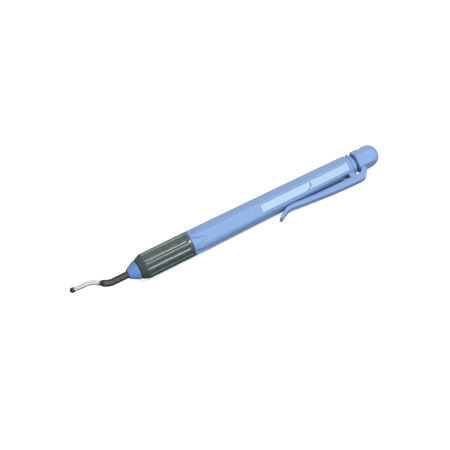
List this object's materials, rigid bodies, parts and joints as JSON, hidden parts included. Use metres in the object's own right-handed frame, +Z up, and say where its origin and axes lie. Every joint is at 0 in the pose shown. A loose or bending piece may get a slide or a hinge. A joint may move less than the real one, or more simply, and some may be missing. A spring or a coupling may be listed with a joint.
{
  "type": "deburring tool",
  "caption": "Pen-shaped hand deburring tool with an S-bent swivel blade, fluted rubber grip, six-sided barrel and a press-to-release end cap with a pocket clip.",
  "frame": {"origin": "on the flat of the barrel that faces down, half-way along the barrel, under the tool's axis", "axes": "+X along the tool's axis from the blade to the end cap, +Z up away from the flat it lies on; the label faces -Y and up, the clip faces -Y and down"},
  "size_m": [0.1517, 0.0151, 0.0121],
  "materials": {
    "blue_plastic": "moulded, semi-gloss",
    "label_strip": "smooth, glossy",
    "grip_rubber": "matte moulded rubber",
    "black_steel": "black oxide",
    "steel": "turned",
    "spring_steel": "drawn wire",
    "brass": "turned",
    "dark_plastic": "moulded"
  },
  "bodies": {
    "handle": {"barrel": "blue_plastic", "label_panel": "label_strip", "grip_sleeve": "grip_rubber", "nose_cone": "blue_plastic", "grip_ring": "dark_plastic", "core_tube": "steel", "blade_bush": "brass", "thrust_pad": "steel", "bush_circlip": "spring_steel", "rod_guide": "dark_plastic", "spring_seat": "steel", "return_spring": "spring_steel", "rear_bush": "blue_plastic"},
    "button": {"end_cap": "blue_plastic", "cap_stem": "blue_plastic", "cap_pin": "steel", "push_rod": "steel", "rod_collar": "brass", "rod_nut": "steel", "lock_sleeve": "steel"},
    "blade": {"blade": "black_steel"},
    "ball_upper": {"ball_upper": "steel"},
    "ball_lower": {"ball_lower": "steel"}
  },
  "joints": [
    {"name": "cap_press", "type": "slide", "parent": "handle", "child": "button", "axis": [-1, 0, 0], "range_m": [0, 0.0015], "stiffness_N_per_m": 800, "springref_m": -0.004, "deforming": ["return_spring"]},
    {"name": "blade_swivel", "type": "hinge", "parent": "handle", "child": "blade", "pos_m": [-0.07095, 0, 0.00492], "axis": [1, 0, 0], "continuous": true},
    {"name": "ball_upper_slide", "type": "slide", "parent": "handle", "child": "ball_upper", "axis": [0, 0, 1], "range_m": [0, 0.00034]},
    {"name": "ball_lower_slide", "type": "slide", "parent": "handle", "child": "ball_lower", "axis": [0, 0, -1], "range_m": [0, 0.00034]}
  ],
  "couplings": [
    {"joint": "ball_upper_slide", "follows": "cap_press", "ratio": 0.2266},
    {"joint": "ball_lower_slide", "follows": "cap_press", "ratio": 0.2266}
  ]
}
